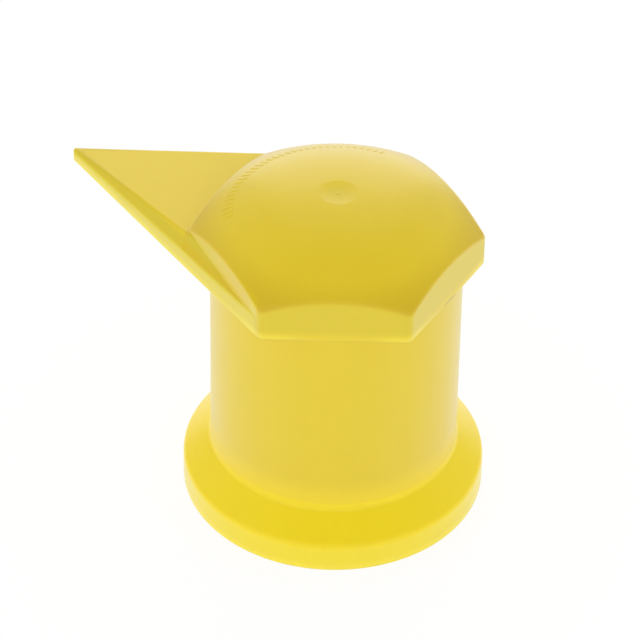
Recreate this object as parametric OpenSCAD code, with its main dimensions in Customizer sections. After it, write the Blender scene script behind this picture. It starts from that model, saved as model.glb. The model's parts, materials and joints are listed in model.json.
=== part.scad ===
// Loose wheel nut indicator: a dust cap that pushes over one wheel nut, with a
// pointer moulded on its hexagonal head. Caps are fitted in pairs, tip to tip,
// and a nut that has turned swings its pointer out of line.
// Millimetres, +Z up. The origin is the centre of the foot's lower face, and
// the pointer reaches out along -X.

/* [Wheel nut] */
// Width across the flats of the nut that the cap grips
nut_af = 33; // [30:0.5:36]
// Diameter of the washer that is captive on the nut
washer_d = 46; // [44:0.5:52]

/* [Foot] */
// Clearance round the washer
washer_gap = 0.4; // [0.2:0.1:1]
// Depth of the recess that takes the washer
recess_h = 5.5; // [3:0.5:8]
// Wall of the rim outside the recess
rim_wall = 3.5; // [2.5:0.1:5]
// Height of the rim's upright face
rim_h = 6; // [4:0.5:9]
// Height of the flare between the rim and the barrel
flare_h = 4.2; // [3:0.1:7]
// Radius of the edge between the rim and the flare
rim_edge_r = 1.5; // [0.5:0.1:3]
// Radius of the rim's lower edge
sole_edge_r = 0.5; // [0.2:0.1:1.5]
// Radius of the fillet at the foot of the barrel
flare_fillet_r = 1.5; // [0.3:0.1:2.5]

/* [Barrel] */
// Wall outside the roots of the grip's grooves
barrel_wall = 2.7; // [2:0.1:4]
// Height of the head's underside above the ground
head_z = 48.75; // [42:0.25:60]

/* [Grip] */
// Number of teeth round the nut, a multiple of its six corners
grip_teeth = 30; // [24:6:36]
// Clearance between the nut's corners and the grooves
groove_gap = 0.25; // [0.1:0.05:0.6]
// How far the teeth bite into the nut's flats
grip_bite = 0.05; // [0:0.05:0.2]
// Height of the teeth above the washer recess
grip_h = 25.5; // [18:0.5:32]
// Step between the teeth and the narrower bore for the stud
bore_step = 0.5; // [0.3:0.1:2]

/* [Head] */
// How far the head's flats stand out from the barrel
head_lip = 0.3; // [0.1:0.1:2]
// Height of the head's corners
corner_h = 5.85; // [4:0.05:9]
// Rise of the dome above the corners
dome_rise = 9; // [5:0.25:12]
// Radius of the head's upright corners
corner_r = 1.7; // [0.5:0.1:3]
// Thickness of the domed roof
roof_wall = 2.7; // [2:0.1:4]

/* [Pointer] */
// Reach of the tip from the cap's axis
pointer_reach = 54.6; // [45:0.2:70]
// Radius of the tip, seen from above
tip_r = 1; // [0.5:0.1:2]
// Thickness of the pointer at its tip
tip_h = 2.1; // [1.5:0.1:3]
// Thickness of the pointer where it meets the head
root_h = 5.4; // [3.5:0.1:5.7]
// Height of the pointer's flank at the head's corner
flank_h = 4.4; // [2.5:0.1:5]
// Width of the flat top at the tip
ridge_tip_w = 0.4; // [0.2:0.1:1]
// Width of each side facet where the flat top meets the head, seen from above
facet_w = 1.95; // [1:0.05:3]

/* [Gate mark] */
// Diameter of the dish at the crown, left by the mould's gate
dish_d = 6.8; // [4:0.2:10]
// Depth of the dish
dish_h = 0.25; // [0.1:0.05:0.6]
// Diameter of the stub in the dish
stub_d = 1; // [0.6:0.1:2]
// Height of the stub
stub_h = 0.25; // [0.1:0.05:0.5]

/* [Hidden] */
$fn = 96;

// Colour of the moulding
cap_yellow = [0.93, 0.83, 0.2];

// Overrun of every cut past the face that it opens
cut_over = 1;
// Steps in the arc of a rounded edge
arc_steps = 8;

// Grip: grooves clear the nut's corners, and teeth touch its flats between them
tooth_pitch = 360 / grip_teeth;
groove_r = nut_af / 2 / cos(30) + groove_gap;
tooth_r = nut_af / 2 / cos(30 - tooth_pitch / 2) - grip_bite;
grip_top = recess_h + grip_h;
bore_r = tooth_r - bore_step;

// Barrel and foot
barrel_r = groove_r + barrel_wall;
recess_r = washer_d / 2 + washer_gap;
foot_r = recess_r + rim_wall;
flare_top = rim_h + flare_h;
flare_lean = atan2(foot_r - barrel_r, flare_h);

// Head: a hexagon with flats square to X, capped by a sphere through its corners
head_apothem = barrel_r + head_lip;
head_r = head_apothem / cos(30);
crown_z = head_z + corner_h + dome_rise;
dome_r = (head_r * head_r + dome_rise * dome_rise) / (2 * dome_rise);
dome_z = crown_z - dome_r;

// Pointer: tangent to a circle in its tip and to the head's rounded corners
corner_arc_r = head_r - corner_r / cos(30);
tip_arc_x = pointer_reach - tip_r;
flank_normal = atan2(corner_arc_r, -tip_arc_x)
    + acos((corner_r - tip_r) / norm([tip_arc_x, corner_arc_r]));
root_half_w = (tip_r + (head_apothem - tip_arc_x) * cos(flank_normal)) / -sin(flank_normal);

// Points along an arc from angle a0 to angle a1
function arc(centre, r, a0, a1) = [
    for (i = [0:arc_steps])
        let (a = a0 + (a1 - a0) * i / arc_steps)
        centre + r * [cos(a), sin(a)]
];

// Point at radius r and angle a
function polar(r, a) = r * [cos(a), sin(a)];

// Outline of the head, with rounded corners
module head_outline() {
    polygon([
        for (a = [30:60:330])
            each arc(polar(corner_arc_r, a), corner_r, a - 30, a + 30)
    ]);
}

// Outline of the pointer, from its tip to the two corners that it grows from
module pointer_outline() {
    polygon(concat(
        arc([-tip_arc_x, 0], tip_r, 360 - flank_normal, flank_normal),
        arc([0, -corner_arc_r], corner_r, flank_normal, 300),
        arc([0, corner_arc_r], corner_r, 60, 360 - flank_normal)
    ));
}

// Outline of the grip: grooves and teeth in turn
module grip_outline() {
    polygon([
        for (i = [0:2 * grip_teeth - 1])
            polar(i % 2 == 0 ? groove_r : tooth_r, i * tooth_pitch / 2)
    ]);
}

// Outer half section of foot and barrel
module shell_section() {
    rim_corner = rim_edge_r * tan(flare_lean / 2);
    fillet_corner = flare_fillet_r * tan(flare_lean / 2);
    polygon(concat(
        [[0, 0]],
        arc([foot_r - sole_edge_r, sole_edge_r], sole_edge_r, -90, 0),
        arc([foot_r - rim_edge_r, rim_h - rim_corner], rim_edge_r, 0, flare_lean),
        arc([barrel_r + flare_fillet_r, flare_top + fillet_corner], flare_fillet_r,
            180 + flare_lean, 180),
        [[barrel_r, head_z + corner_h / 2], [0, head_z + corner_h / 2]]
    ));
}

// Everything above the plane through three points, as far as the cap reaches
module above_plane(p, q, s) {
    across = cross(q - p, s - p);
    n = across / norm(across) * sign(across[2]);
    span = 4 * pointer_reach;
    translate(p) rotate([0, acos(n[2]), atan2(n[1], n[0])])
        translate([-span / 2, -span / 2, 0]) cube(span);
}

// The pointer's block between its flanks, with a sloping facet down each side.
// It runs on beside the head as far as the corners.
module pointer_block() {
    tip_top = head_z + tip_h;
    root_top = head_z + root_h;
    difference() {
        translate([0, 0, head_z]) linear_extrude(corner_h) pointer_outline();
        for (side = [-1, 1])
            above_plane([-pointer_reach, side * ridge_tip_w / 2, tip_top],
                [-head_apothem, side * (root_half_w - facet_w), root_top],
                [0, side * head_r, head_z + flank_h]);
    }
}

// The space over the pointer's flat top, in front of the head's flat
module over_pointer() {
    slope = (root_h - tip_h) / (pointer_reach - head_apothem);
    end = pointer_reach + cut_over;
    rotate([90, 0, 0]) linear_extrude(2 * head_r, center = true) polygon([
        [-head_apothem, head_z + root_h],
        [-head_apothem, head_z + corner_h + cut_over],
        [-end, head_z + corner_h + cut_over],
        [-end, head_z + tip_h - slope * cut_over]
    ]);
}

module pointer() {
    difference() {
        pointer_block();
        over_pointer();
    }
}

module head() {
    intersection() {
        translate([0, 0, head_z]) linear_extrude(corner_h + dome_rise + cut_over) head_outline();
        translate([0, 0, dome_z]) sphere(dome_r);
    }
}

// Dish at the crown that keeps the gate's stub below the dome
module gate_dish() {
    dish_r = dish_d / 2;
    dish_sphere_r = (dish_r * dish_r + dish_h * dish_h) / (2 * dish_h);
    rim_z = dome_z + sqrt(dome_r * dome_r - dish_r * dish_r);
    translate([0, 0, rim_z - dish_h + dish_sphere_r]) sphere(dish_sphere_r);
}

module gate_stub() {
    dish_r = dish_d / 2;
    rim_z = dome_z + sqrt(dome_r * dome_r - dish_r * dish_r);
    translate([0, 0, rim_z - dish_h - roof_wall / 2])
        cylinder(d = stub_d, h = roof_wall / 2 + stub_h);
}

// Hollow inside: washer recess, lead-in cone, toothed grip and bore for the stud
module cavity() {
    lead_h = (recess_r - bore_r) * flare_h / (foot_r - barrel_r);
    translate([0, 0, -cut_over]) cylinder(r = recess_r, h = recess_h + cut_over);
    translate([0, 0, recess_h]) cylinder(r1 = recess_r, r2 = bore_r, h = lead_h);
    translate([0, 0, recess_h]) linear_extrude(grip_h) grip_outline();
    intersection() {
        translate([0, 0, recess_h]) cylinder(r = bore_r, h = crown_z);
        translate([0, 0, dome_z]) sphere(dome_r - roof_wall);
    }
}

module indicator_cap() {
    color(cap_yellow) {
        difference() {
            union() {
                rotate_extrude() shell_section();
                head();
                pointer();
            }
            cavity();
            gate_dish();
        }
        gate_stub();
    }
}

indicator_cap();
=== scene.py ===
"""The looks of a loose wheel nut indicator: one cap of yellow moulded plastic,
with its rounded edges, gate mark, raised bars and toothed grip, in a pale studio.

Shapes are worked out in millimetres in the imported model's frame: +Z up, the
origin at the centre of the foot's lower face, the pointer along -X.
"""

import json
import math

import bpy
import numpy as np
from mathutils import Matrix, Vector


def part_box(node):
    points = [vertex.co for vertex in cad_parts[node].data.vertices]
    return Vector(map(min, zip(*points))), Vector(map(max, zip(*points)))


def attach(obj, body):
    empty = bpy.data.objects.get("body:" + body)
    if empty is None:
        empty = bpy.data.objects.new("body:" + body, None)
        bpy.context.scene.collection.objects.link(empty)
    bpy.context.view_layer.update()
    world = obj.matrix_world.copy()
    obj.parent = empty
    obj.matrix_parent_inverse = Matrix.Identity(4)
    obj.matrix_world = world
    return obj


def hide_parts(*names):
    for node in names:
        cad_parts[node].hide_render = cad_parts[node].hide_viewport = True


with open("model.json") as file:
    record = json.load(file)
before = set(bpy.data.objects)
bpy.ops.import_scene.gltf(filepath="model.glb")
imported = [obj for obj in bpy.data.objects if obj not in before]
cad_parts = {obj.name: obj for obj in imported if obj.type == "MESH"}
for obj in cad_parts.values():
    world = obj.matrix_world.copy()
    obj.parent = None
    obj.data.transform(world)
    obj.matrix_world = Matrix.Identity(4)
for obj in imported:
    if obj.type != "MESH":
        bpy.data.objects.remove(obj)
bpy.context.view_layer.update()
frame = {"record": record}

MM = 0.001

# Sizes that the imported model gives, in millimetres
mount_dims = {mount["name"]: mount["dims"] for mount in frame["record"]["mounts"]}
cad_low, cad_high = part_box("indicator_cap")
POINTER_REACH = -cad_low.x / MM
FOOT_R = cad_high.x / MM
RECESS_R = mount_dims["washer_recess"]["r_mm"]
RECESS_H = mount_dims["washer_recess"]["length_mm"]
BORE_R = mount_dims["stud_bore"]["r_mm"]

# Foot. The rim and flare are fitted to the photograph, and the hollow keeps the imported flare's height
RIM_H = 5.65
FLARE_H = 4.55
PACKED_FLARE_H = 4.2
RIM_EDGE_R = 1.5
SOLE_EDGE_R = 0.5
MOUTH_EDGE_R = 0.3
FLARE_FILLET_R = 1.5
FLARE_TOP = RIM_H + FLARE_H

# Grip
NUT_AF = 33.0
GRIP_TEETH = 30
GROOVE_GAP = 0.25
GRIP_BITE = 0.05
GRIP_TOP = 31.0
TOOTH_PITCH = 2 * math.pi / GRIP_TEETH
GROOVE_R = NUT_AF / 2 / math.cos(math.radians(30)) + GROOVE_GAP
TOOTH_R = NUT_AF / 2 / math.cos(math.radians(30) - TOOTH_PITCH / 2) - GRIP_BITE

# Barrel
BARREL_WALL = 2.7
BARREL_R = GROOVE_R + BARREL_WALL
NECK_FILLET_R = 0.04
FLARE_LEAN = math.atan2(FOOT_R - BARREL_R, FLARE_H)
LEAD_H = (RECESS_R - BORE_R) * PACKED_FLARE_H / (FOOT_R - BARREL_R)

# Head
HEAD_Z = 48.75
HEAD_LIP = 0.3
CORNER_H = 5.85
DOME_RISE = 9.0
CORNER_R = 1.7
DOME_EDGE_R = 0.8
SOFT_EDGE_R = 1.6
SOFT_FLATS = math.radians(60)
LIP_EDGE_R = 0.24
LIP_CORNER_R = 0.5
ROOF_WALL = 2.7
HALF_SIDE = math.radians(30)
HEAD_APOTHEM = BARREL_R + HEAD_LIP
HEAD_R = HEAD_APOTHEM / math.cos(HALF_SIDE)
CORNER_ARC_R = HEAD_R - CORNER_R / math.cos(HALF_SIDE)
CORNER_START = math.atan2(CORNER_ARC_R * math.sin(HALF_SIDE), HEAD_APOTHEM)
CORNER_END_X = -CORNER_ARC_R * math.cos(HALF_SIDE) - CORNER_R * math.sin(HALF_SIDE)
DOME_R = (HEAD_R**2 + DOME_RISE**2) / (2 * DOME_RISE)
DOME_Z = HEAD_Z + CORNER_H + DOME_RISE - DOME_R

# Gate mark at the crown
DISH_R = 3.4
DISH_H = 0.25
DISH_LIP_R = 4.4
DISH_LIP_W = 0.3
STUB_R = 0.35
STUB_H = 0.08
STUB_EDGE_R = 0.07

# Pointer
TIP_R = 1.0
TIP_H = 2.1
ROOT_H = 5.4
FLANK_H = 4.1
FACET_DIP = 0.3
WEB_OUT = 0.24
WEB_UP = 0.62
RIDGE_TIP_W = 0.4
FACET_W = 1.95
RIDGE_SOFT = 0.5
FLANK_SOFT = 0.35
KEEL_SOFT = 0.25
TIP_SOFT = 0.3
ROOT_CLEAR = 0.15
TIP_ARC_X = POINTER_REACH - TIP_R
FLANK_NORMAL = math.atan2(CORNER_ARC_R, -TIP_ARC_X) + math.acos(
    (CORNER_R - TIP_R) / math.hypot(TIP_ARC_X, CORNER_ARC_R)
)
FLANK_FROM = (TIP_R * math.cos(FLANK_NORMAL) - TIP_ARC_X, -TIP_R * math.sin(FLANK_NORMAL))
FLANK_TO = (CORNER_R * math.cos(FLANK_NORMAL), CORNER_ARC_R - CORNER_R * math.sin(FLANK_NORMAL))
TIP_TOP = HEAD_Z + TIP_H
ROOT_TOP = HEAD_Z + ROOT_H

# Ring of raised bars on the dome
BAR_COUNT = 33
BAR_FROM = math.radians(97)
BAR_TO = math.radians(215)
BAR_RING_R = 19.0
BAR_HALF_L = 1.0
BAR_HALF_W = 0.26
BAR_RISE = 0.11
BAR_SINK = 0.4

CUT_OVER = 1.0

# Colours of the plastic by zone, many of them painted light and shade, and of what lies on it
# Painted glow: the sole, rim, flare and the barrel's foot are lighter and more vivid than the barrel,
# standing in for light from the floor and light bounced up from the foot
SOLE_PAINTED_GLOW = (1.0, 0.82, 0.05, 1)
RIM_PAINTED_GLOW = (0.935, 0.755, 0.022, 1)
FLARE_PAINTED_GLOW = (0.945, 0.73, 0.001, 1)
BARREL_FOOT_PAINTED_GLOW = (0.90, 0.685, 0.015, 1)
BARREL_YELLOW = (0.79, 0.603, 0.019, 1)
DOME_YELLOW = (0.813, 0.612, 0.017, 1)
# Painted shade: the dome darker towards its corners
CORNER_PAINTED_SHADE = (0.705, 0.50, 0.012, 1)
# Painted shade on the head's flats
FLAT_PAINTED_SHADE = (0.735, 0.58, 0.021, 1)
POINTER_YELLOW = (0.83, 0.622, 0.013, 1)
# Painted shade on the pointer's facets, darkest at their root beside the head
FACET_PAINTED_SHADE = (0.735, 0.57, 0.013, 1)
ROOT_FACET_PAINTED_SHADE = (0.74, 0.545, 0.006, 1)
# Painted shading on the pointer's flanks
FLANK_PAINTED_SHADING = (0.768, 0.632, 0.026, 1)
# Painted highlight along the lower lip of the head and pointer
LIP_PAINTED_HIGHLIGHT = (0.93, 0.80, 0.05, 1)
MOTTLE_OCHRE = (0.62, 0.42, 0.004, 1)
SPECK_BROWN = (0.30, 0.19, 0.03, 1)
# Painted shadow in the crease under the head's +X flat
CREASE_PAINTED_SHADOW = (0.34, 0.20, 0.02, 1)

# Strength of the white world: its light near the horizon and overhead, and what reflections find low down
WHITE = (1, 1, 1, 1)
LIGHT_LOW = 1.54
LIGHT_OVERHEAD = 0.52
REFLECTED_LOW = 0.12

# Softboxes: azimuth and elevation in degrees, power and colour, all at one distance and of one size
SOFTBOX_DISTANCE = 1000.0
SOFTBOX_SIZE = 700.0
WARM = (1, 0.96, 0.84)
SOFTBOXES = {
    "softbox_back_low": (210, 15, 1.5, WARM),
    "softbox_back_high": (210, 48, 0.95, WARM),
    "softbox_left": (300, 48, 0.1, WHITE[:3]),
    "softbox_front": (345, 15, 0.3, WHITE[:3]),
}

# Camera, as it stood to the object in the photograph
CAMERA_AZIMUTH = math.radians(30.496)
CAMERA_ELEVATION = math.radians(39.59)
CAMERA_ROLL = math.radians(1.007)
CAMERA_DISTANCE = 728.72
CAMERA_AIM = (-2.744, 35.017)
CAMERA_LENS = 233.55


def placed(name, data):
    """A new object in the scene that holds the given data."""
    thing = bpy.data.objects.new(name, data)
    bpy.context.scene.collection.objects.link(thing)
    return thing


def arc(centre, radius, start, end, steps):
    """Points of a profile at one radius from a centre, the angle turned evenly from start to end."""
    turn = np.radians(np.linspace(start, end, steps + 1))
    return np.array(centre) + radius * np.stack([np.cos(turn), np.sin(turn)], axis=-1)


def fine(profile, gap):
    """The points of a profile, with more put evenly on each straight that is longer than gap."""
    profile = np.asarray(profile, float)
    runs = np.linalg.norm(np.diff(profile, axis=0), axis=1)
    parts = np.maximum(np.ceil(runs / gap).astype(int), 1)
    first = np.repeat(np.arange(len(runs)), parts)
    share = (np.arange(parts.sum()) - np.repeat(np.cumsum(parts) - parts, parts)) / np.repeat(parts, parts)
    points = profile[first] + share[:, None] * (profile[first + 1] - profile[first])
    return np.concatenate([points, profile[-1:]])


def turned(profile, angles):
    """Rings of a turned shape: each point (r, z) of the profile is carried round the axis,
    to (r cos a, r sin a, z)."""
    r, z = np.asarray(profile, float).T
    ring = np.stack([np.cos(angles), np.sin(angles)], axis=-1)
    flat = r[:, None, None] * ring[None]
    return np.concatenate([flat, np.broadcast_to(z[:, None, None], flat.shape[:2] + (1,))], axis=-1)


def between(start, end, shares):
    """Rings that go in straight lines from one ring to another, at the given shares of the way."""
    shares = np.asarray(shares, float)[:, None, None]
    return start + shares * (end - start)


def swung(centre, radius, start, end, steps):
    """Rings of a rounded edge: at each column the direction from the edge's centre turns evenly
    from one unit vector to another, and the point lies one radius out along it."""
    turn = np.arccos(np.clip((start * end).sum(-1, keepdims=True), -1, 1))
    share = np.linspace(0, 1, steps + 1)[:, None, None]
    direction = (np.sin((1 - share) * turn) * start + np.sin(share * turn) * end) / np.sin(turn)
    return centre + radius * direction


def column_angles():
    """Angles of the cap's columns, from -30 degrees round to 330. In each side of the head they are
    1.5 degrees apart, with one at every tooth and groove, and close together round its corners."""
    even = np.radians(np.arange(0, 24, 1.5))
    to_corner = np.linspace(math.radians(24), CORNER_START, 4)[:-1]
    bend = arc(
        (CORNER_ARC_R * math.cos(HALF_SIDE), CORNER_ARC_R * math.sin(HALF_SIDE)), CORNER_R, 0, 30, 6
    )
    half = np.concatenate([even, to_corner, np.arctan2(bend[:, 1], bend[:, 0])])
    side = np.concatenate([-half[::-1], half[1:-1]])
    return (np.arange(6)[:, None] * 2 * HALF_SIDE + side).ravel()


def head_outline(angles):
    """Points and outward normals of the head's outline at polar angles a: the distance from the axis is
    apothem / cos(a) on a flat, and on a corner where the ray leaves the corner's circle."""
    off_flat = (angles + HALF_SIDE) % (2 * HALF_SIDE) - HALF_SIDE
    flat_turn = angles - off_flat
    corner_turn = flat_turn + np.sign(off_flat) * HALF_SIDE
    off_corner = HALF_SIDE - np.abs(off_flat)
    bend = np.abs(off_flat) > CORNER_START
    reach = np.sqrt(np.maximum(CORNER_R**2 - (CORNER_ARC_R * np.sin(off_corner)) ** 2, 0))
    distance = np.where(
        bend, CORNER_ARC_R * np.cos(off_corner) + reach, HEAD_APOTHEM / np.cos(off_flat)
    )
    points = distance[:, None] * np.stack([np.cos(angles), np.sin(angles)], axis=-1)
    centres = CORNER_ARC_R * np.stack([np.cos(corner_turn), np.sin(corner_turn)], axis=-1)
    flat_normals = np.stack([np.cos(flat_turn), np.sin(flat_turn)], axis=-1)
    normals = np.where(bend[:, None], (points - centres) / CORNER_R, flat_normals)
    return points, normals


def on_sphere(plan, radius):
    """Plan points lifted onto the dome's sphere, or one inside it: z is the centre's height
    plus the root of radius squared less the distance from the axis squared."""
    z = DOME_Z + np.sqrt(radius**2 - (plan**2).sum(-1, keepdims=True))
    return np.concatenate([plan, z], axis=-1)


def at_height(plan, z):
    """Plan points at one height."""
    return np.concatenate([plan, np.full(plan.shape[:-1] + (1,), float(z))], axis=-1)


def gate_mark(angles):
    """Rings of the crown from the stub's top out to the dish's lip: the stub's rounded rim, the dish's
    spherical floor, and a lip where the floor turns back up onto the dome."""
    rim_z = DOME_Z + math.sqrt(DOME_R**2 - DISH_R**2)
    floor_z = rim_z - DISH_H
    floor_r = (DISH_R**2 + DISH_H**2) / (2 * DISH_H)
    r = np.linspace(STUB_R + 0.12, DISH_R - DISH_LIP_W, 8)
    floor = np.stack([r, floor_z + floor_r - np.sqrt(floor_r**2 - r**2)], axis=-1)
    lip_end = np.array([DISH_LIP_R, DOME_Z + math.sqrt(DOME_R**2 - DISH_LIP_R**2)])
    rim = np.array([DISH_R, rim_z])
    share = np.linspace(0, 1, 7)[1:, None]
    lip = (1 - share) ** 2 * floor[-1] + 2 * share * (1 - share) * rim + share**2 * lip_end
    stub = arc((STUB_R - STUB_EDGE_R, floor_z + STUB_H - STUB_EDGE_R), STUB_EDGE_R, 90, 0, 4)
    return turned(np.concatenate([[[STUB_R / 3, floor_z + STUB_H]], stub, floor, lip]), angles)


def outer_rings(angles):
    """Rings of the cap's outside from the crown down to the sole, without its pointer. The dome meets
    the head's sides in a rolling-ball fillet, whose centre runs one radius inside both of them. It is
    wider over the two flats either side of +X, and the lower lip is rounder towards the corners."""
    outline, normals = head_outline(angles)
    gate = gate_mark(angles)
    from_flat = np.abs(np.arccos(np.cos(angles)) - SOFT_FLATS)[:, None]
    crisp = np.clip((from_flat - 0.8 * HALF_SIDE) / (0.4 * HALF_SIDE), 0, 1)
    edge_r = SOFT_EDGE_R + (DOME_EDGE_R - SOFT_EDGE_R) * crisp**2 * (3 - 2 * crisp)
    centre = on_sphere(outline - edge_r * normals, DOME_R - edge_r)
    up_dome = (centre - [0, 0, DOME_Z]) / (DOME_R - edge_r)
    sideways = at_height(normals, 0)
    down = np.broadcast_to([0.0, 0.0, -1.0], sideways.shape)
    edge = swung(centre, edge_r, up_dome, sideways, 7)
    dome = on_sphere(between(gate[-1][:, :2], edge[0][:, :2], np.linspace(0, 1, 30)[1:-1]), DOME_R)
    overhang = (np.linalg.norm(outline, axis=-1, keepdims=True) - HEAD_APOTHEM) / (HEAD_R - HEAD_APOTHEM)
    lip_r = LIP_EDGE_R + (LIP_CORNER_R - LIP_EDGE_R) * overhang
    lip_centre = at_height(outline - lip_r * normals, HEAD_Z) + [0, 0, 1] * lip_r
    lip = swung(lip_centre, lip_r, sideways, down, 4)
    side = between(edge[-1], lip[0], np.linspace(0, 1, 8)[1:-1])
    neck = turned(arc((BARREL_R + NECK_FILLET_R, HEAD_Z - NECK_FILLET_R), NECK_FILLET_R, 90, 180, 3), angles)
    underside = between(lip[-1], neck[0], [0.5])
    return np.concatenate([gate, dome, edge, side, lip, underside, neck, turned(foot_profile(), angles)])


def foot_profile():
    """Profile (r, z) of the barrel and foot, from below the neck down to the sole."""
    lean = math.degrees(FLARE_LEAN)
    rim_corner = RIM_EDGE_R * math.tan(FLARE_LEAN / 2)
    fillet_corner = FLARE_FILLET_R * math.tan(FLARE_LEAN / 2)
    fillet = arc(
        (BARREL_R + FLARE_FILLET_R, FLARE_TOP + fillet_corner), FLARE_FILLET_R, 180, 180 + lean, 6
    )
    rim_edge = arc((FOOT_R - RIM_EDGE_R, RIM_H - rim_corner), RIM_EDGE_R, lean, 0, 8)
    sole_edge = arc((FOOT_R - SOLE_EDGE_R, SOLE_EDGE_R), SOLE_EDGE_R, 0, -90, 6)
    barrel = fine([(BARREL_R, HEAD_Z - 2 * NECK_FILLET_R), fillet[0]], 2.5)[:-1]
    flare = fine([fillet[-1], rim_edge[0]], 1.2)[1:-1]
    rim = fine([rim_edge[-1], sole_edge[0]], 1.2)[1:-1]
    return np.concatenate([barrel, fillet, flare, rim_edge, rim, sole_edge, [[1.0, 0.0]]])


def grip_radius(angles):
    """Distance of the grip's wall from the axis at polar angles a: straight lines from the bottom of
    each groove to the tip of the tooth beside it."""
    half = TOOTH_PITCH / 2
    off = np.abs((angles + half) % TOOTH_PITCH - half)
    return GROOVE_R * TOOTH_R * math.sin(half) / (GROOVE_R * np.sin(off) + TOOTH_R * np.sin(half - off))


def hollow_rings(angles):
    """Rings of the hollow inside from the roof down through the bore, the grip, the lead-in cone and
    the washer recess. In the grip the wall is the wider of the cone and the grip's own radius."""
    roof_r = DOME_R - ROOF_WALL
    r = np.linspace(0.5, BORE_R, 14)
    roof = turned(np.stack([r, DOME_Z + np.sqrt(roof_r**2 - r**2)], axis=-1), angles)
    bore = turned(fine([(BORE_R, roof[-1, 0, 2]), (BORE_R, GRIP_TOP)], 2.5)[1:], angles)
    z = np.concatenate([
        np.linspace(GRIP_TOP, RECESS_H + LEAD_H, 8),
        np.linspace(RECESS_H + LEAD_H, RECESS_H + 0.65 * LEAD_H, 12)[1:],
        np.linspace(RECESS_H + 0.65 * LEAD_H, RECESS_H, 4)[1:],
    ])
    cone = BORE_R + (RECESS_R - BORE_R) * np.clip((RECESS_H + LEAD_H - z) / LEAD_H, 0, 1)
    wall = np.maximum(cone[:, None], grip_radius(angles)[None])
    ring = np.stack([np.cos(angles), np.sin(angles)], axis=-1)
    grip = np.concatenate([
        wall[..., None] * ring, np.broadcast_to(z[:, None, None], wall.shape + (1,))
    ], axis=-1)
    mouth = arc((RECESS_R + MOUTH_EDGE_R, MOUTH_EDGE_R), MOUTH_EDGE_R, 180, 270, 4)
    recess = np.concatenate([
        fine([(RECESS_R, RECESS_H), mouth[0]], 2.0)[1:-1], mouth, [[RECESS_R + MOUTH_EDGE_R, -CUT_OVER]]
    ])
    return np.concatenate([roof, bore, grip, turned(recess, angles)])


def softened(corners, reach, steps=4):
    """Sections with rounded corners: each corner is cut back by reach along both its edges, at most
    0.45 of an edge, and a parabola joins the two cuts. corners is (sections, corners, 2)."""
    before = np.roll(corners, 1, axis=1) - corners
    after = np.roll(corners, -1, axis=1) - corners

    def cut(edge):
        length = np.linalg.norm(edge, axis=-1, keepdims=True)
        return corners + edge * np.minimum(reach[None, :, None] / np.maximum(length, 1e-9), 0.45)

    share = np.linspace(0, 1, steps + 1)[:, None]
    start, end = cut(before)[:, :, None], cut(after)[:, :, None]
    bend = (1 - share) ** 2 * start + 2 * share * (1 - share) * corners[:, :, None] + share**2 * end
    return bend.reshape(len(corners), -1, 2)


def flank_w(x):
    """Half width of the pointer at x: a straight line from its rounded tip to the head's corner."""
    (x0, w0), (x1, w1) = FLANK_FROM, FLANK_TO
    return w0 + (x - x0) * (w1 - w0) / (x1 - x0)


def facet_top(x, w):
    """Height of the pointer's facets at x and half width w. They lie in the plane through the ridge's two
    ends and the head's corner, less a dip beside the head of 4 s (1 - s) times its depth, where s is
    the share of the way from the head's flat to its corner."""
    ridge_root = flank_w(-HEAD_APOTHEM) - FACET_W
    runs = np.array([
        [POINTER_REACH - HEAD_APOTHEM, ridge_root - RIDGE_TIP_W / 2],
        [HEAD_APOTHEM, HEAD_R - ridge_root],
    ])
    slope = np.linalg.solve(runs, [ROOT_TOP - TIP_TOP, HEAD_Z + FLANK_H - ROOT_TOP])
    beside = np.clip(1 + x / HEAD_APOTHEM, 0, 1)
    dip = FACET_DIP * 4 * beside * (1 - beside)
    return ROOT_TOP - dip + slope[0] * (x + HEAD_APOTHEM) + slope[1] * (w - ridge_root), slope[1]


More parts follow.
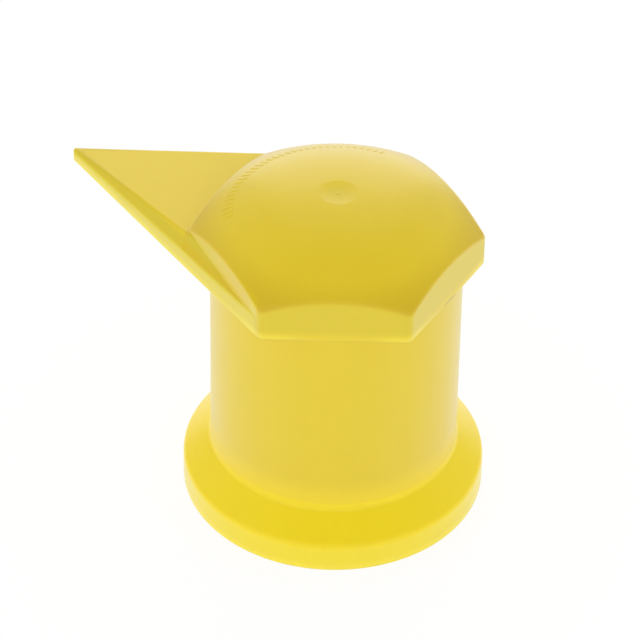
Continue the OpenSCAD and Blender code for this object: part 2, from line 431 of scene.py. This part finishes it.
def pointer_rings():
    """Rings of the pointer, one upright section after another from its tip to the head's corners. A
    section runs up one flank, over facet, flat top and facet, and down the other. Past the head's
    rounded corner the top steps up inside the head, so that only the facets show there."""
    tip_turn = np.linspace(math.radians(8), FLANK_NORMAL - math.pi, 8)
    at_head = (CORNER_END_X - FLANK_FROM[0]) / (FLANK_TO[0] - FLANK_FROM[0])
    share = np.concatenate([np.linspace(0, at_head, 28)[1:], np.linspace(at_head + 0.0004, 0.995, 16)])
    along_flank = FLANK_FROM[0] + share * (FLANK_TO[0] - FLANK_FROM[0])
    x = np.concatenate([-TIP_ARC_X - TIP_R * np.cos(tip_turn), along_flank])
    half_w = np.concatenate([TIP_R * np.sin(tip_turn), flank_w(along_flank)])
    beside_head = x > CORNER_END_X + 1e-6

    ridge_root = flank_w(-HEAD_APOTHEM) - FACET_W
    along = (x + POINTER_REACH) / (POINTER_REACH - HEAD_APOTHEM)
    ridge = RIDGE_TIP_W / 2 + along * (ridge_root - RIDGE_TIP_W / 2)
    head_top = HEAD_Z + CORNER_H - ROOT_CLEAR
    root_facet, fall = facet_top(x, ridge_root)
    ridge = np.where(beside_head, ridge_root + (head_top - root_facet) / fall, ridge)
    ridge = np.minimum(ridge, 0.9 * half_w)
    roll = np.clip(TIP_SOFT - (x + POINTER_REACH), 0, TIP_SOFT)
    roll = TIP_SOFT - np.sqrt(TIP_SOFT**2 - roll**2)
    top = np.where(beside_head, head_top, TIP_TOP + along * (ROOT_TOP - TIP_TOP)) - roll
    flank = np.minimum(facet_top(x, half_w)[0], top)
    keel = HEAD_Z + roll
    corners = np.stack([
        np.stack([-half_w, keel], -1), np.stack([-half_w, flank], -1), np.stack([-ridge, top], -1),
        np.stack([ridge, top], -1), np.stack([half_w, flank], -1), np.stack([half_w, keel], -1),
    ], axis=1)
    reach = np.array([KEEL_SOFT, FLANK_SOFT, RIDGE_SOFT, RIDGE_SOFT, FLANK_SOFT, KEEL_SOFT])
    section = softened(corners, reach)
    return np.concatenate([np.broadcast_to(x[:, None, None], section.shape[:2] + (1,)), section], axis=-1)


def web_rings():
    """Rings of the hollow fillets between the pointer's facets and the head's flats beside them, one
    for each side. A section runs in a parabola from the facet up to the flat, and back inside the
    plastic. It is smaller where the facet narrows or the flat above it is low."""
    sink = 0.01
    x = np.linspace(CORNER_END_X, -1.5, 30)
    flat_w = (HEAD_APOTHEM + x * math.sin(HALF_SIDE)) / math.cos(HALF_SIDE)
    foot_z = facet_top(x, flat_w)[0]
    dome_edge = DOME_Z + np.sqrt(DOME_R**2 - x**2 - flat_w**2)
    size = np.minimum(0.25 + 0.5 * (x - x[0]), 0.6 * (flank_w(x) - flat_w) / WEB_OUT)
    size = np.minimum(size, 1)
    size = np.minimum(size, 0.8 * np.maximum(dome_edge - DOME_EDGE_R / 2 - foot_z, 0.1) / WEB_UP)
    out_w = flat_w + WEB_OUT * size
    start = np.stack([out_w, facet_top(x, out_w)[0] - sink], -1)[:, None]
    bend = np.stack([flat_w, foot_z], -1)[:, None]
    end = np.stack([flat_w - sink, foot_z + WEB_UP * size], -1)[:, None]
    share = np.linspace(0, 1, 8)[:, None]
    curve = (1 - share) ** 2 * start + 2 * share * (1 - share) * bend + share**2 * end
    inside = np.concatenate([end - [0.8, 0.3], bend - [0.8, 1.2], start - [0.1, 0.8]], axis=1)
    section = np.concatenate([curve, inside], axis=1)
    right = np.concatenate([np.broadcast_to(x[:, None, None], section.shape[:2] + (1,)), section], axis=-1)
    return np.stack([right * [1, -1, 1], right[:, ::-1]])


def bar_rings():
    """Rings of the raised bars, all alike and evenly spaced. Each is a rounded oblong set along a radius
    of the dome, its outline drawn in a little at each step up, and its height taken from the dome below
    it."""
    turn = np.linspace(0, 2 * math.pi, 16, endpoint=False)
    oblong = np.stack([
        BAR_HALF_L * np.sign(np.cos(turn)) * np.abs(np.cos(turn)) ** 0.5,
        BAR_HALF_W * np.sign(np.sin(turn)) * np.abs(np.sin(turn)) ** 0.5,
    ], axis=-1)
    size = np.array([0.4, 0.72, 0.9, 1.0, 1.08])
    rise = np.array([1.0, 0.96, 0.75, 0.0, -BAR_SINK / BAR_RISE]) * BAR_RISE
    place = np.linspace(BAR_FROM, BAR_TO, BAR_COUNT)
    outward = np.stack([np.cos(place), np.sin(place)], axis=-1)
    across = np.stack([-np.sin(place), np.cos(place)], axis=-1)
    local = size[:, None, None] * oblong
    plan = (
        (BAR_RING_R + local[None, ..., :1]) * outward[:, None, None]
        + local[None, ..., 1:] * across[:, None, None]
    )
    rings = on_sphere(plan, DOME_R)
    rings[..., 2] += rise[None, :, None]
    return rings


def shell(name, rings):
    """A closed mesh from stacks of rings, (stacks, rings, columns, 3) in millimetres. Quads join each
    ring to the next, and each end is closed to a point in the middle of its ring."""
    stacks, levels, columns = rings.shape[:3]
    ends = np.stack([rings[:, 0].mean(1), rings[:, -1].mean(1)], axis=1)
    points = np.concatenate([rings.reshape(stacks, -1, 3), ends], axis=1)
    level, column = np.meshgrid(np.arange(levels - 1), np.arange(columns), indexing="ij")
    a = (level * columns + column).ravel()
    b = (level * columns + (column + 1) % columns).ravel()
    quads = np.stack([a, a + columns, b + columns, b], axis=-1)
    j = np.arange(columns)
    k = (j + 1) % columns
    last = (levels - 1) * columns
    first_fan = np.stack([np.full(columns, levels * columns), j, k], axis=-1)
    last_fan = np.stack([np.full(columns, levels * columns + 1), last + k, last + j], axis=-1)
    base = (np.arange(stacks) * points.shape[1])[:, None, None]
    faces = (quads[None] + base).reshape(-1, 4).tolist()
    faces += (np.concatenate([first_fan, last_fan])[None] + base).reshape(-1, 3).tolist()
    mesh = bpy.data.meshes.new(name)
    mesh.from_pydata((points.reshape(-1, 3) * MM).tolist(), [], faces)
    mesh.update()
    return placed(name, mesh)


def settle(piece):
    """Makes the result of a piece's modifiers its own mesh."""
    bpy.context.view_layer.update()
    graph = bpy.context.evaluated_depsgraph_get()
    made = bpy.data.meshes.new_from_object(piece.evaluated_get(graph))
    piece.modifiers.clear()
    piece.data = made
    made.name = piece.name


def combine(piece, tools):
    """Joins tools to the piece, or cuts them from it, in turn, and removes them."""
    for tool, operation in tools:
        modifier = piece.modifiers.new(tool.name, "BOOLEAN")
        modifier.object = tool
        modifier.operation = operation
        modifier.solver = "EXACT"
    settle(piece)
    for tool, _ in tools:
        bpy.data.objects.remove(tool)


def make_cap():
    """The moulding: the outside joined with the pointer, the webs beside it and the raised bars, less
    the hollow inside. Edges sharper than 30 degrees stay crisp, and wide faces keep their own normals."""
    angles = column_angles()
    cap = shell("cap_moulding", outer_rings(angles)[None])
    combine(cap, [
        (shell("pointer", pointer_rings()[None]), "UNION"),
        (shell("webs", web_rings()), "UNION"),
        (shell("bars", bar_rings()), "UNION"),
        (shell("hollow", hollow_rings(angles)[None]), "DIFFERENCE"),
    ])
    cap.data.shade_smooth()
    cap.data.set_sharp_from_angle(angle=math.radians(30))
    weighted = cap.modifiers.new("weighted_normals", "WEIGHTED_NORMAL")
    weighted.keep_sharp = True
    settle(cap)
    return cap


class Value:
    """A socket in a material's nodes. Sums on it add Math nodes, and numbers may stand on either side."""

    def __init__(self, tree, socket):
        self.tree, self.socket = tree, socket

    def math(self, operation, *others):
        inputs = dict(enumerate((self, *others)))
        return add_node(self.tree, "ShaderNodeMath", {"operation": operation}, inputs)

    def __add__(self, other):
        return self.math("ADD", other)

    def __sub__(self, other):
        return self.math("SUBTRACT", other)

    def __rsub__(self, other):
        return add_node(self.tree, "ShaderNodeMath", {"operation": "SUBTRACT"}, {0: other, 1: self})

    def __mul__(self, other):
        return self.math("MULTIPLY", other)

    __radd__ = __add__
    __rmul__ = __mul__

    def step(self, low, high):
        """0 below low and 1 above high, with a smooth rise between."""
        settings = {"interpolation_type": "SMOOTHSTEP"}
        return add_node(self.tree, "ShaderNodeMapRange", settings, {0: self, 1: low, 2: high})


def add_node(tree, kind, settings, inputs, output=0):
    """Adds a node with its settings, then the values or links of its sockets, and gives one output."""
    node = tree.nodes.new(kind)
    for name, value in settings.items():
        setattr(node, name, value)
    for key, value in inputs.items():
        if isinstance(value, Value):
            tree.links.new(value.socket, node.inputs[key])
        else:
            node.inputs[key].default_value = value
    return Value(tree, node.outputs[output] if node.outputs else None)


def new_tree(material):
    """An emptied node tree for a material or a world."""
    material.use_nodes = True
    material.node_tree.nodes.clear()
    return material.node_tree


def coordinate(tree, place, direction):
    """How far a place lies along a direction, in units of one over the direction's length."""
    inputs = {0: place, 1: direction}
    return add_node(tree, "ShaderNodeVectorMath", {"operation": "DOT_PRODUCT"}, inputs, "Value")


def length_of(tree, place, axes, centre=(0, 0, 0)):
    """Distance in millimetres from a centre to a place, counted along the axes marked 1."""
    scale = tuple(axis / MM for axis in axes)
    offset = add_node(tree, "ShaderNodeVectorMath", {"operation": "MULTIPLY"}, {0: place, 1: scale})
    offset = add_node(tree, "ShaderNodeVectorMath", {"operation": "SUBTRACT"}, {0: offset, 1: centre})
    return add_node(tree, "ShaderNodeVectorMath", {"operation": "LENGTH"}, {0: offset}, "Value")


def mixed(tree, share, first, second):
    """A colour between two, at the given share of the way from the first to the second."""
    return add_node(tree, "ShaderNodeMix", {"data_type": "RGBA"}, {0: share, 6: first, 7: second}, 2)


def noise(tree, place, grain, detail=2.0, roughness=0.5):
    """Noise from 0 to 1 whose grains are about the given size in millimetres."""
    inputs = {"Vector": place, "Scale": 1 / (grain * MM), "Detail": detail, "Roughness": roughness}
    return add_node(tree, "ShaderNodeTexNoise", {}, inputs, "Fac")


def zone_colour_and_painted_light(tree, place):
    """The plastic's yellow by zones, with painted light and shade over it: a painted glow on the sole, rim,
    flare and the barrel's foot, the barrel, dome and pointer's top in the plastic's own yellow, painted
    shade on the dome's corners, the head's flats and the pointer's facets, and painted shading on its
    flanks. A painted highlight runs along the lower lip of the head and pointer, brighter towards the head's
    corners, and the mark it returns is a painted shadow in the crease under the head's +X flat. Inset is how
    far a place lies inside the pointer's flank, seen from above."""
    along, sideways, height = (
        coordinate(tree, place, axis) for axis in ((1 / MM, 0, 0), (0, 1 / MM, 0), (0, 0, 1 / MM))
    )
    from_axis = length_of(tree, place, (1, 1, 0))
    from_centre = length_of(tree, place, (1, 1, 1), (0, 0, DOME_Z))
    (flank_x, flank_y), (head_x, head_y) = FLANK_FROM, FLANK_TO
    widen = (head_y - flank_y) / (head_x - flank_x)
    inset = along * widen + (flank_y - flank_x * widen) - length_of(tree, place, (0, 1, 0))

    # Painted glow near the foot: the sole, rim, flare and barrel's foot are lighter than the barrel, in
    # place of light from the floor
    colour = mixed(tree, height.step(0.4, 2.4), SOLE_PAINTED_GLOW, RIM_PAINTED_GLOW)
    colour = mixed(tree, height.step(RIM_H - 0.9, RIM_H - 0.2), colour, FLARE_PAINTED_GLOW)
    barrel = mixed(tree, height.step(FLARE_TOP + 0.5, FLARE_TOP + 7.0), BARREL_FOOT_PAINTED_GLOW, BARREL_YELLOW)
    colour = mixed(tree, height.step(FLARE_TOP + 0.6, FLARE_TOP + 1.6), colour, barrel)

    on_dome = from_centre.step(DOME_R - 0.7, DOME_R - 0.1)
    colour = mixed(tree, on_dome, colour, DOME_YELLOW)
    # Painted shade: the dome darker out towards its corners
    colour = mixed(tree, on_dome * from_axis.step(18.2, 25.0), colour, CORNER_PAINTED_SHADE)
    # Painted shade on the head's flats above the lip
    on_head = along.step(-HEAD_APOTHEM - 0.4, -HEAD_APOTHEM)
    above_lip = height.step(HEAD_Z + 0.8, HEAD_Z + 2.4)
    colour = mixed(tree, on_head * (1 - on_dome) * above_lip, colour, FLAT_PAINTED_SHADE)

    # Painted shade on the pointer's facets, with a darker root beside the head
    pointer_side = 1 - along.step(-2.0, 0.0)
    on_facet = (1 - inset.step(0.9, 1.6)) * on_head * pointer_side * height.step(HEAD_Z + 1.0, HEAD_Z + 3.0)
    colour = mixed(tree, on_facet, colour, ROOT_FACET_PAINTED_SHADE)
    pointer = mixed(tree, inset.step(1.1, 1.9), FACET_PAINTED_SHADE, POINTER_YELLOW)
    colour = mixed(tree, (1 - on_head) * height.step(HEAD_Z + 1.6, HEAD_Z + 2.1), colour, pointer)
    # Painted shading on the pointer's flanks
    on_flank = (1 - inset.step(0.05, 0.4)) * pointer_side * height.step(HEAD_Z - 0.2, HEAD_Z + 0.2)
    colour = mixed(tree, on_flank, colour, FLANK_PAINTED_SHADING)

    # Painted highlight along the lower lip of the head and pointer, brighter where the head overhangs the
    # barrel
    lip = height.step(HEAD_Z - 0.2, HEAD_Z) * (1 - height.step(HEAD_Z + 0.3, HEAD_Z + 2.0))
    lip = lip * (0.14 + from_axis.step(HEAD_APOTHEM, HEAD_APOTHEM + 2.5) * 0.5)
    colour = mixed(tree, lip, colour, LIP_PAINTED_HIGHLIGHT)

    # Painted shadow: a dark streak in the crease under the head's +X flat, where it meets the barrel
    mark = sideways.step(-2.0, -0.9) * (1 - sideways.step(1.6, 2.9)) * along.step(21.0, 21.8)
    mark = mark * height.step(HEAD_Z - 0.1, HEAD_Z + 0.06) * (1 - height.step(HEAD_Z + 0.25, HEAD_Z + 0.5))
    return colour, mark


def moulded_yellow():
    """Satin yellow polyethylene. Fine mottle, a mould grain, faint sink ripples and a few dark specks lie
    over the colours of its zones, which carry painted glow, shade and highlights, and one painted shadow
    lies in the crease under the head's +X flat."""
    material = bpy.data.materials.new("moulded_yellow")
    tree = new_tree(material)
    place = add_node(tree, "ShaderNodeTexCoord", {}, {}, "Object")
    colour, mark = zone_colour_and_painted_light(tree, place)

    patches = (noise(tree, place, 6.0) * 0.5 + noise(tree, place, 0.9) * 0.5).step(0.3, 0.7)
    colour = mixed(tree, patches * 0.05, colour, MOTTLE_OCHRE)
    cells = {"Vector": place, "Scale": 1 / (8.5 * MM)}
    from_speck = add_node(tree, "ShaderNodeTexVoronoi", {}, cells, "Distance")
    pick = add_node(tree, "ShaderNodeTexVoronoi", {}, cells, "Color")
    speck = (1 - from_speck.step(0.010, 0.018)) * pick.step(0.56, 0.58)
    colour = mixed(tree, speck * 0.6, colour, SPECK_BROWN)
    # Painted shadow in the crease under the head's +X flat
    colour = mixed(tree, mark * 0.9, colour, CREASE_PAINTED_SHADOW)

    scuff = noise(tree, place, 4.0, 6.0, 0.65)
    roughness = 0.27 + scuff * 0.08
    grain = noise(tree, place, 0.16)
    ripple = noise(tree, place, 5.0, 1.0)
    relief = grain * 0.0025 + ripple * 0.01
    bump = add_node(tree, "ShaderNodeBump", {}, {"Strength": 0.5, "Distance": MM, "Height": relief})

    surface = add_node(tree, "ShaderNodeBsdfPrincipled", {}, {
        "Base Color": colour, "Roughness": roughness, "Normal": bump, "IOR": 1.5,
        "Sheen Weight": 0.32, "Sheen Roughness": 0.4,
        "Subsurface Weight": 0.2, "Subsurface Radius": (1.0, 0.8, 0.25), "Subsurface Scale": MM,
    })
    add_node(tree, "ShaderNodeOutputMaterial", {}, {"Surface": surface})
    return material


def seen_plainly(tree):
    """1 for rays from the camera, off a glossy surface or through a clear one, and 0 for others."""
    camera, glossy, clear = (
        add_node(tree, "ShaderNodeLightPath", {}, {}, name)
        for name in ("Is Camera Ray", "Is Glossy Ray", "Is Transmission Ray")
    )
    return (camera + glossy + clear).math("MINIMUM", 1.0)


def make_floor():
    """A white tabletop that keeps a faint shadow: part of what the camera sees of it glows white."""
    half = 2500.0
    corners = np.array([[-half, -half, 0], [half, -half, 0], [half, half, 0], [-half, half, 0]]) * MM
    mesh = bpy.data.meshes.new("tabletop")
    mesh.from_pydata(corners.tolist(), [], [(0, 1, 2, 3)])
    material = bpy.data.materials.new("white_tabletop")
    tree = new_tree(material)
    matt = add_node(tree, "ShaderNodeBsdfDiffuse", {}, {"Color": (0.9, 0.9, 0.9, 1)})
    glow = add_node(tree, "ShaderNodeEmission", {}, {"Color": WHITE, "Strength": 1.04})
    share = seen_plainly(tree) * 0.85
    surface = add_node(tree, "ShaderNodeMixShader", {}, {0: share, 1: matt, 2: glow})
    add_node(tree, "ShaderNodeOutputMaterial", {}, {"Surface": surface})
    mesh.materials.append(material)
    placed("tabletop", mesh)


def make_world():
    """White studio light that is brightest near the horizon and dim overhead. The backdrop is plain
    white to the camera, and reflections find it dimmer."""
    world = bpy.data.worlds.new("studio")
    bpy.context.scene.world = world
    tree = new_tree(world)
    direction = add_node(tree, "ShaderNodeTexCoord", {}, {}, "Generated")
    lift = coordinate(tree, direction, (0, 0, 1))
    overhead = lift.step(math.sin(math.radians(15)), math.sin(math.radians(55)))
    glossy = add_node(tree, "ShaderNodeLightPath", {}, {}, "Is Glossy Ray")
    strength = LIGHT_LOW - overhead * (LIGHT_LOW - LIGHT_OVERHEAD)
    light = add_node(tree, "ShaderNodeBackground", {}, {"Color": WHITE, "Strength": strength})
    seen = 1 - glossy * (1 - REFLECTED_LOW + overhead * REFLECTED_LOW)
    backdrop = add_node(tree, "ShaderNodeBackground", {}, {"Color": WHITE, "Strength": seen})
    surface = add_node(tree, "ShaderNodeMixShader", {}, {0: seen_plainly(tree), 1: light, 2: backdrop})
    add_node(tree, "ShaderNodeOutputWorld", {}, {"Surface": surface})


def make_lamp(name, azimuth, elevation, power, colour):
    """A square softbox that faces the cap. Azimuth 0 stands on the -Y side and 90 on the +X side."""
    turn, lift = math.radians(azimuth), math.radians(elevation)
    towards = Vector((
        math.sin(turn) * math.cos(lift), -math.cos(turn) * math.cos(lift), math.sin(lift)
    ))
    data = bpy.data.lights.new(name, "AREA")
    data.size = SOFTBOX_SIZE * MM
    data.energy = power
    data.color = colour
    lamp = placed(name, data)
    lamp.location = Vector((0, 0, HEAD_Z / 2 * MM)) + towards * SOFTBOX_DISTANCE * MM
    lamp.rotation_mode = "QUATERNION"
    lamp.rotation_quaternion = towards.to_track_quat("Z", "Y")


def make_camera():
    """The photograph's camera: turned round the cap, lifted and rolled, aimed at a point beside the axis."""
    back = Vector((
        math.sin(CAMERA_AZIMUTH) * math.cos(CAMERA_ELEVATION),
        -math.cos(CAMERA_AZIMUTH) * math.cos(CAMERA_ELEVATION),
        math.sin(CAMERA_ELEVATION),
    ))
    level = Vector((math.cos(CAMERA_AZIMUTH), math.sin(CAMERA_AZIMUTH), 0))
    upward = back.cross(level)
    right = level * math.cos(CAMERA_ROLL) + upward * math.sin(CAMERA_ROLL)
    up = back.cross(right)
    place = level * CAMERA_AIM[0] + Vector((0, 0, CAMERA_AIM[1])) + back * CAMERA_DISTANCE
    data = bpy.data.cameras.new("camera")
    data.lens = CAMERA_LENS
    data.sensor_width = 36.0
    data.clip_start, data.clip_end = 0.01, 20.0
    camera = placed("camera", data)
    camera.matrix_world = Matrix.Translation(place * MM) @ Matrix((right, up, back)).transposed().to_4x4()
    bpy.context.scene.camera = camera


make_camera()
make_floor()
make_world()
for name, settings in SOFTBOXES.items():
    make_lamp(name, *settings)

cap = make_cap()
cap.data.materials.clear()
cap.data.materials.append(moulded_yellow())
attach(cap, "root")
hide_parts("indicator_cap")

bpy.context.scene.view_settings.view_transform = "Standard"
